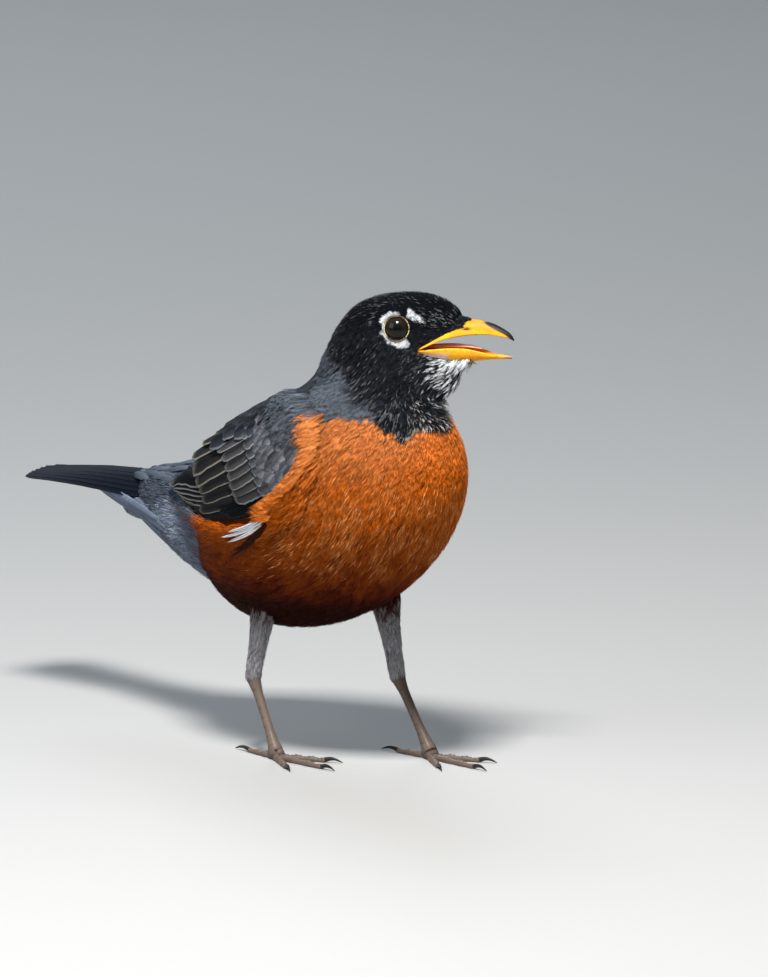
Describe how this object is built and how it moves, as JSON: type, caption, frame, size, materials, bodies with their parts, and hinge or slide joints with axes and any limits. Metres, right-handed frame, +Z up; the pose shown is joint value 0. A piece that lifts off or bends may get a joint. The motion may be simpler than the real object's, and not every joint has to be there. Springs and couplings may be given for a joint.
{
  "type": "american robin model",
  "caption": "Life-size still model of an adult male American robin, standing with its head turned and its bill open.",
  "frame": {"origin": "middle of the floor side of the bird's box, on the floor that it stands on", "axes": "+X the way the body faces, +Y to the bird's left, +Z up"},
  "size_m": [0.2122, 0.074, 0.1612],
  "materials": {
    "black_feathers": "soft black feathers with fine grey streaks",
    "slate_feathers": "slate-grey feathers with paler edges",
    "orange_feathers": "brick-orange breast feathers with paler tips",
    "tail_feathers": "blackish tail feathers with a slight gloss",
    "pale_feathers": "short whitish-grey feathers",
    "bill_horn": "smooth orange-yellow horn with a dusky tip",
    "eye": "wet dark brown eye",
    "leg_scales": "grey-brown horny scales",
    "claw_horn": "smooth blackish horn"
  },
  "bodies": {
    "root": {"head": "black_feathers", "neck": "slate_feathers", "trunk": "orange_feathers", "tail": "tail_feathers", "wing_left": "slate_feathers", "wing_right": "slate_feathers", "thigh_left": "pale_feathers", "thigh_right": "pale_feathers", "bill_upper": "bill_horn", "bill_lower": "bill_horn", "eye_left": "eye", "eye_right": "eye", "tarsus_left": "leg_scales", "tarsus_right": "leg_scales", "toe_left_inner": "leg_scales", "toe_left_middle": "leg_scales", "toe_left_outer": "leg_scales", "toe_left_hind": "leg_scales", "toe_right_inner": "leg_scales", "toe_right_middle": "leg_scales", "toe_right_outer": "leg_scales", "toe_right_hind": "leg_scales", "claw_left_inner": "claw_horn", "claw_left_middle": "claw_horn", "claw_left_outer": "claw_horn", "claw_left_hind": "claw_horn", "claw_right_inner": "claw_horn", "claw_right_middle": "claw_horn", "claw_right_outer": "claw_horn", "claw_right_hind": "claw_horn"}
  },
  "joints": []
}
